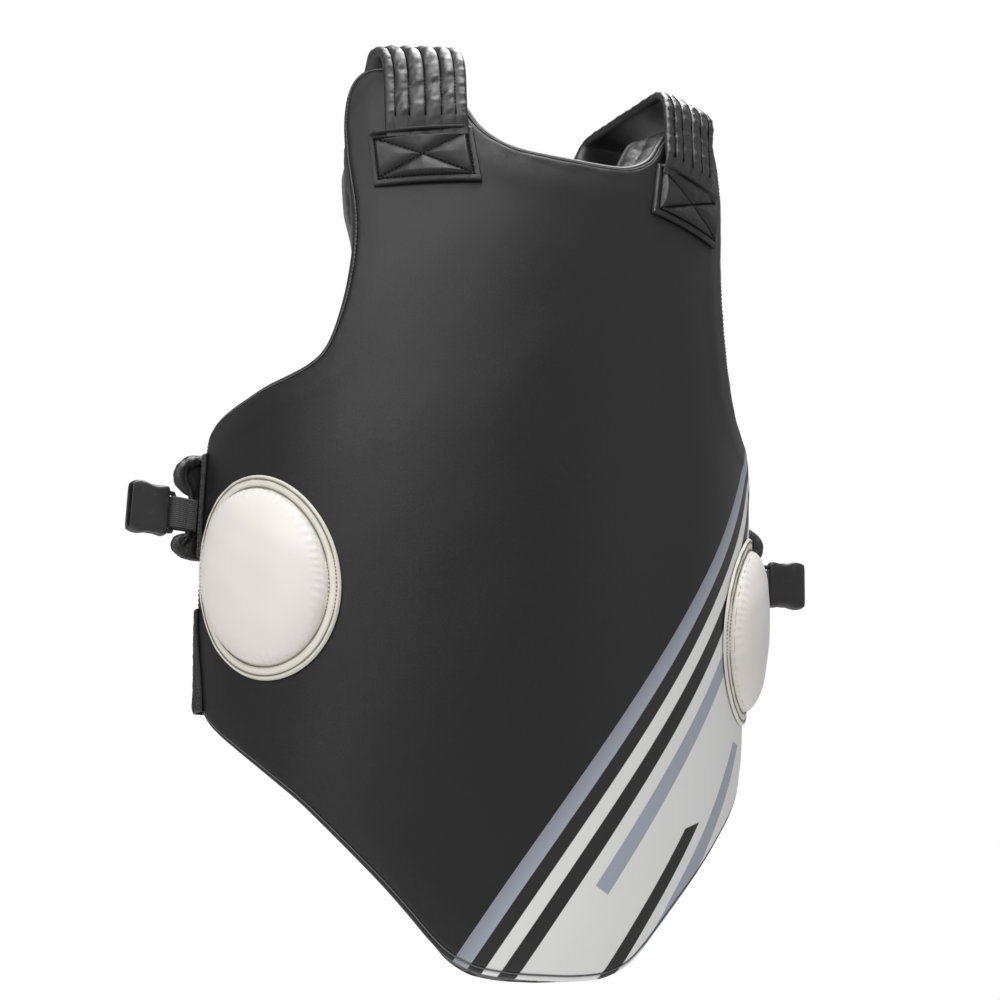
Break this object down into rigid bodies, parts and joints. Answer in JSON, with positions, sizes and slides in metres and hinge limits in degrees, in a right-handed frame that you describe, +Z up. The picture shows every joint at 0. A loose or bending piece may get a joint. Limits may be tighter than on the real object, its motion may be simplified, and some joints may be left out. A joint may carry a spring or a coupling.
{
  "type": "trainer belly pad",
  "caption": "Curved foam-filled body shield with round side targets, padded shoulder straps, a back yoke with clip tails and a hook-and-loop waist band.",
  "frame": {"origin": "middle of the shoulder line, under the crests of the two shoulder straps", "axes": "+Z up the body, +Y from the front cover towards the wearer, +X to the right in a front view"},
  "size_m": [0.5774, 0.2859, 0.707],
  "materials": {
    "black_leather": "satin synthetic leather, fine grain",
    "white_leather": "satin synthetic leather, cream white",
    "strap_leather": "glossy quilted synthetic leather",
    "foam": "closed-cell foam",
    "lining": "woven lining",
    "webbing": "ribbed woven webbing",
    "elastic": "ribbed elastic",
    "velcro": "hook and loop",
    "buckle_plastic": "moulded acetal"
  },
  "bodies": {
    "pad": {"front_cover": "black_leather", "impact_foam": "foam", "comfort_foam": "foam", "back_lining": "lining", "edge_gusset": "black_leather", "left_waist_wing": "elastic", "loop_panel": "velcro", "left_target_rim": "white_leather", "left_target_foam": "foam", "left_target_cover": "white_leather", "left_strap_patch": "black_leather", "left_front_strap": "strap_leather", "left_side_tab": "black_leather", "left_lower_tab": "black_leather", "left_webbing_loop": "webbing", "right_target_rim": "white_leather", "right_target_foam": "foam", "right_target_cover": "white_leather", "right_strap_patch": "black_leather", "right_front_strap": "strap_leather", "right_side_tab": "black_leather", "right_lower_tab": "black_leather", "right_webbing_loop": "webbing"},
    "waist_wing": {"right_waist_wing": "elastic", "hook_panel": "velcro"},
    "harness": {"left_back_strap": "strap_leather", "right_back_strap": "strap_leather", "yoke_outer": "strap_leather", "yoke_padding": "lining"},
    "left_tail": {"left_tail": "webbing"},
    "left_slider": {"left_slider": "buckle_plastic"},
    "left_plug": {"left_plug": "buckle_plastic"},
    "left_prong_outer": {"left_prong_outer": "buckle_plastic"},
    "left_prong_inner": {"left_prong_inner": "buckle_plastic"},
    "left_socket": {"left_socket": "buckle_plastic"},
    "right_tail": {"right_tail": "webbing"},
    "right_slider": {"right_slider": "buckle_plastic"},
    "right_plug": {"right_plug": "buckle_plastic"},
    "right_prong_outer": {"right_prong_outer": "buckle_plastic"},
    "right_prong_inner": {"right_prong_inner": "buckle_plastic"},
    "right_socket": {"right_socket": "buckle_plastic"}
  },
  "joints": [
    {"name": "harness_swing", "type": "hinge", "parent": "pad", "child": "harness", "pos_m": [0, 0.1, 0.003], "axis": [1, 0, 0], "range_deg": [-6, 70]},
    {"name": "waist_band_open", "type": "hinge", "parent": "pad", "child": "waist_wing", "pos_m": [0.20544, 0.14897, -0.5065], "axis": [0, 0, -1], "range_deg": [0, 70]},
    {"name": "left_tail_swing", "type": "hinge", "parent": "harness", "child": "left_tail", "pos_m": [-0.052, 0.1, -0.238], "axis": [1, 0, 0], "range_deg": [-10, 80]},
    {"name": "left_slider_slide", "type": "slide", "parent": "left_tail", "child": "left_slider", "axis": [0, 0, -1], "range_m": [-0.014, 0.04]},
    {"name": "left_plug_swing", "type": "hinge", "parent": "left_tail", "child": "left_plug", "pos_m": [-0.052, 0.1, -0.3353], "axis": [1, 0, 0], "range_deg": [-45, 60]},
    {"name": "left_prong_outer_squeeze", "type": "hinge", "parent": "left_plug", "child": "left_prong_outer", "pos_m": [-0.066, 0.1, -0.34936], "axis": [0, -1, 0], "range_deg": [0, 8], "stiffness_Nm_per_rad": 0.05},
    {"name": "left_prong_inner_squeeze", "type": "hinge", "parent": "left_plug", "child": "left_prong_inner", "pos_m": [-0.038, 0.1, -0.34936], "axis": [0, 1, 0], "range_deg": [0, 8], "stiffness_Nm_per_rad": 0.05},
    {"name": "left_socket_turn", "type": "hinge", "parent": "pad", "child": "left_socket", "pos_m": [-0.25225, 0.12682, -0.357], "axis": [0, 0, -1], "range_deg": [-30, 75]},
    {"name": "right_tail_swing", "type": "hinge", "parent": "harness", "child": "right_tail", "pos_m": [0.052, 0.1, -0.238], "axis": [1, 0, 0], "range_deg": [-10, 80]},
    {"name": "right_slider_slide", "type": "slide", "parent": "right_tail", "child": "right_slider", "axis": [0, 0, -1], "range_m": [-0.014, 0.04]},
    {"name": "right_plug_swing", "type": "hinge", "parent": "right_tail", "child": "right_plug", "pos_m": [0.052, 0.1, -0.3353], "axis": [1, 0, 0], "range_deg": [-45, 60]},
    {"name": "right_prong_outer_squeeze", "type": "hinge", "parent": "right_plug", "child": "right_prong_outer", "pos_m": [0.066, 0.1, -0.34936], "axis": [0, 1, 0], "range_deg": [0, 8], "stiffness_Nm_per_rad": 0.05},
    {"name": "right_prong_inner_squeeze", "type": "hinge", "parent": "right_plug", "child": "right_prong_inner", "pos_m": [0.038, 0.1, -0.34936], "axis": [0, -1, 0], "range_deg": [0, 8], "stiffness_Nm_per_rad": 0.05},
    {"name": "right_socket_turn", "type": "hinge", "parent": "pad", "child": "right_socket", "pos_m": [0.25225, 0.12682, -0.357], "axis": [0, 0, 1], "range_deg": [-30, 75]}
  ]
}
